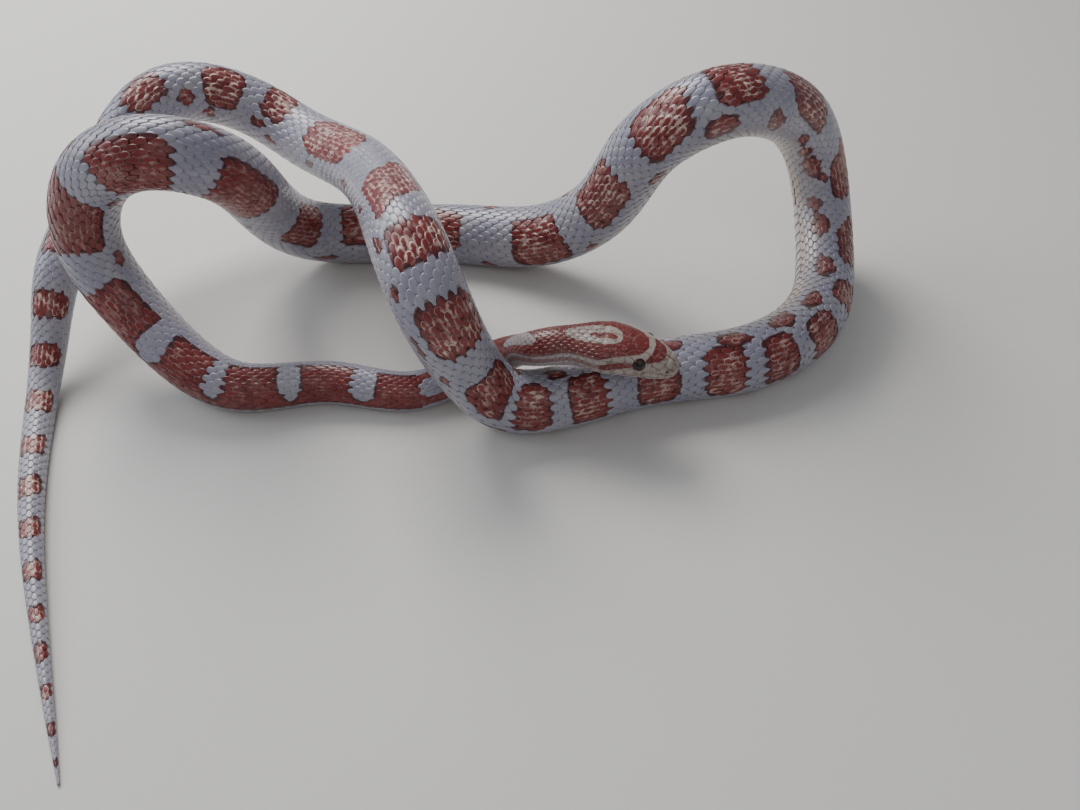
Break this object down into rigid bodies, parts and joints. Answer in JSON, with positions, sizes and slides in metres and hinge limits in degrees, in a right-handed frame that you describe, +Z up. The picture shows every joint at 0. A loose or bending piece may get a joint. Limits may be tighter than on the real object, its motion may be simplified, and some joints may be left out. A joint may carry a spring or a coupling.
{
  "type": "corn snake model",
  "caption": "Still life-size model of a resting corn snake, red saddles on grey, its body in a low standing double loop with the tail laid along the floor.",
  "frame": {"origin": "the middle of the footprint's box, on the floor that the body lies on", "axes": "+X to the snout's side along the longest side of the footprint, +Y away from the viewer towards the rear stretch, +Z up"},
  "size_m": [0.3156, 0.2668, 0.098],
  "materials": {
    "scaled_skin": "satin scales, brick-red saddles with thin dark edges on a lavender-grey ground",
    "head_skin": "smooth satin plates, red crown marks and pale peach-grey lips and snout",
    "tail_skin": "satin scales, narrow red rings on grey",
    "dark_eye": "wet gloss, near black with a deep red iris"
  },
  "bodies": {
    "root": {"head": "head_skin", "neck": "scaled_skin", "torso_01": "scaled_skin", "torso_02": "scaled_skin", "torso_03": "scaled_skin", "torso_04": "scaled_skin", "torso_05": "scaled_skin", "torso_06": "scaled_skin", "torso_07": "scaled_skin", "torso_08": "scaled_skin", "torso_09": "scaled_skin", "torso_10": "scaled_skin", "torso_11": "scaled_skin", "torso_12": "scaled_skin", "torso_13": "scaled_skin", "torso_14": "scaled_skin", "torso_15": "scaled_skin", "tail": "tail_skin", "eye_left": "dark_eye", "eye_right": "dark_eye"}
  },
  "joints": []
}
